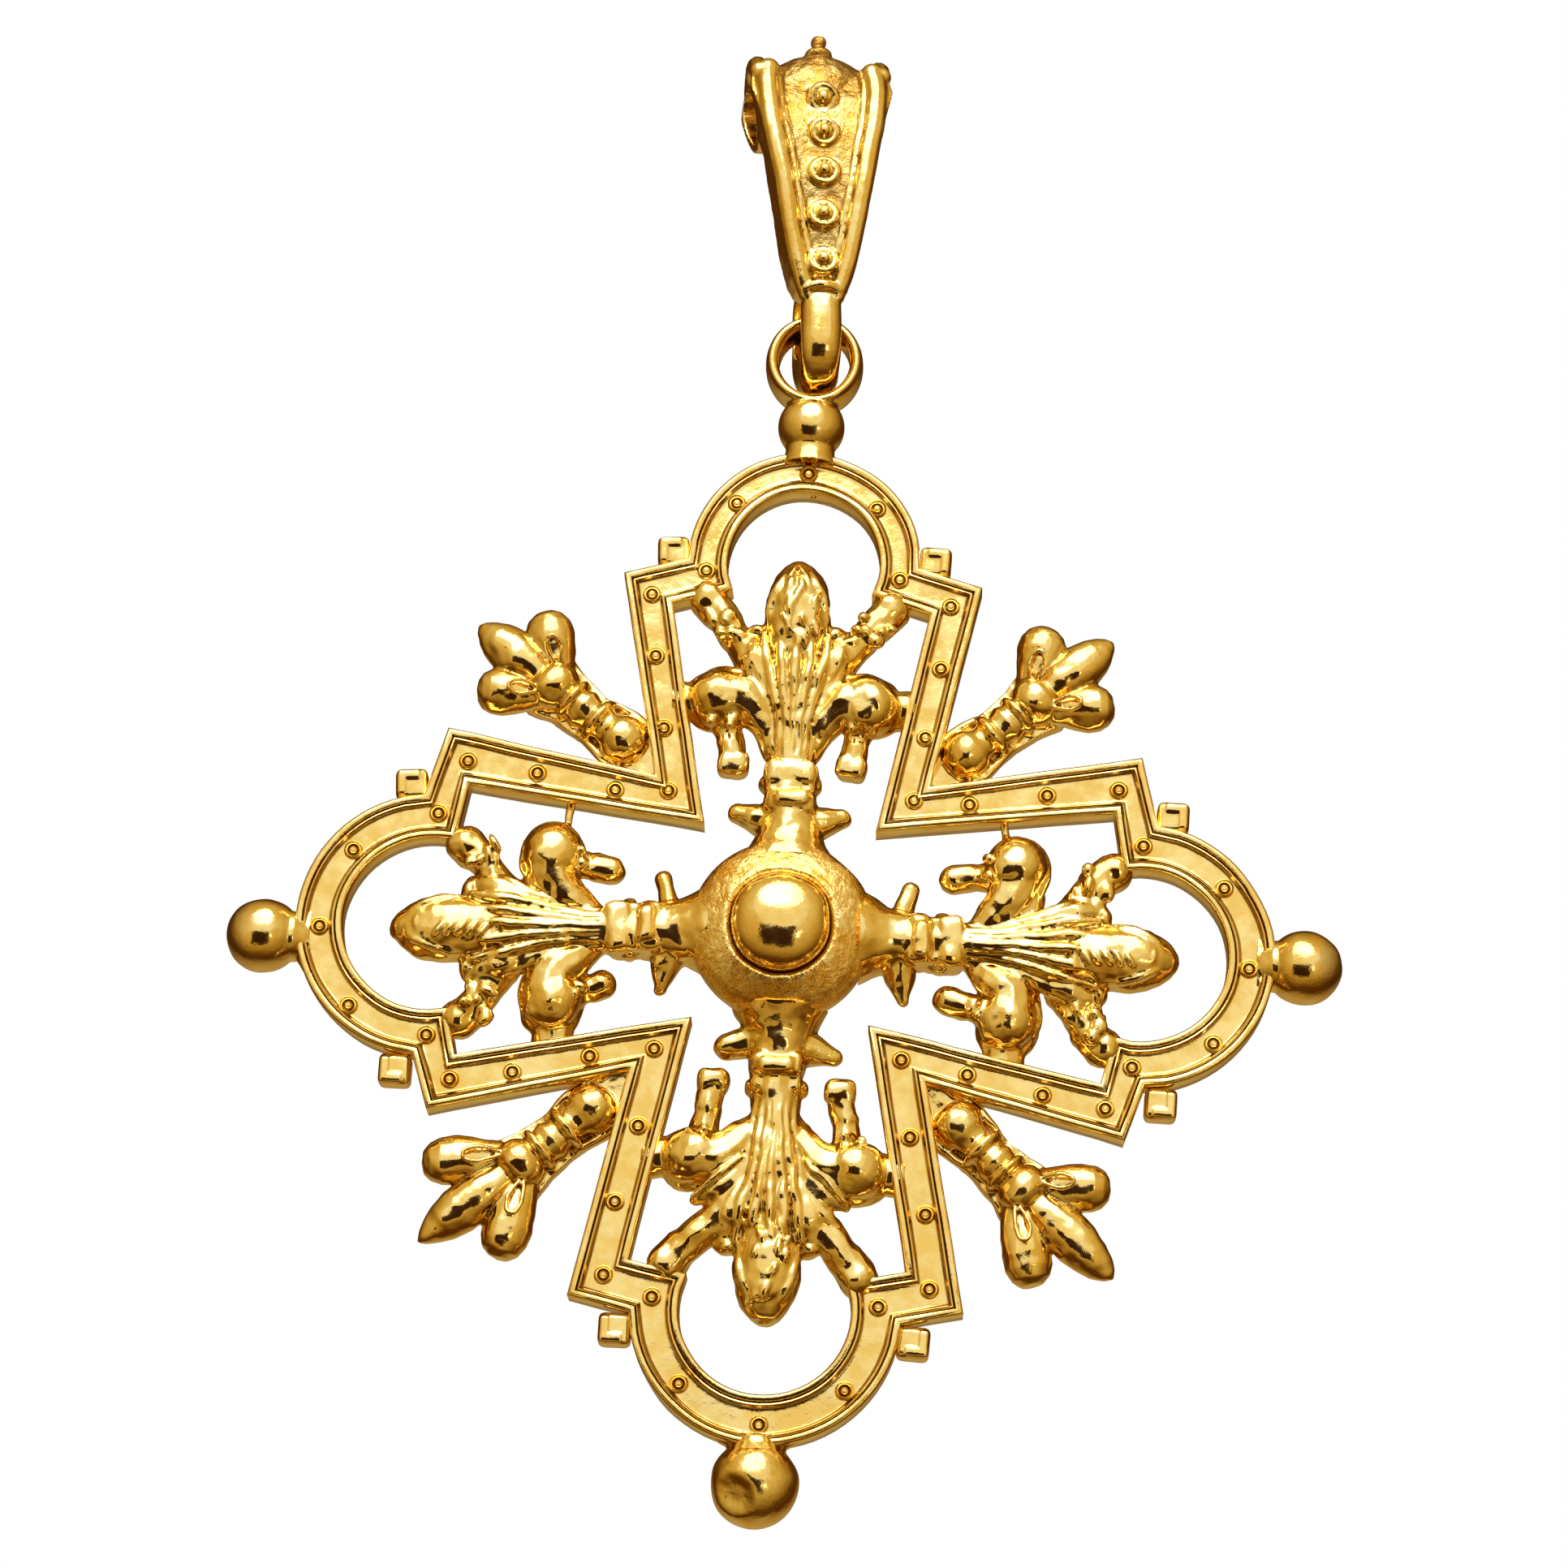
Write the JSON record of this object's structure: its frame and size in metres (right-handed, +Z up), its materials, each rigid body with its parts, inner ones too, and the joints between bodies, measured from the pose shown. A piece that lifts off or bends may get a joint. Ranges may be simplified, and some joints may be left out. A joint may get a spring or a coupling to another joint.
{
  "type": "pendant",
  "caption": "Openwork Maltese cross pendant with a domed boss, lily arms, corner finials, end balls and a tapered strap bail.",
  "frame": {"origin": "inside top of the bail's channel, where the chain bears", "axes": "+Z up along the hanging pendant, -Y out of its front, +X to the right seen from the front"},
  "size_m": [0.0758, 0.0099, 0.1058],
  "materials": {
    "gilt": "polished gold plate, mottled by casting",
    "worn_gilt": "gold plate worn at the tips"
  },
  "bodies": {
    "bail": {"bail": "gilt"},
    "cross": {"frame": "gilt", "boss": "gilt", "fleur_top": "gilt", "fleur_right": "gilt", "fleur_bottom": "gilt", "fleur_left": "gilt", "finial_upper_right": "gilt", "finial_lower_right": "gilt", "finial_lower_left": "gilt", "finial_upper_left": "gilt", "ball_right": "worn_gilt", "ball_bottom": "worn_gilt", "ball_left": "worn_gilt", "hanger": "gilt"}
  },
  "joints": [
    {"name": "ring_swing", "type": "hinge", "parent": "bail", "child": "cross", "pos_m": [0, 0, -0.01852], "axis": [1, 0, 0], "range_deg": [-60, 60]}
  ]
}
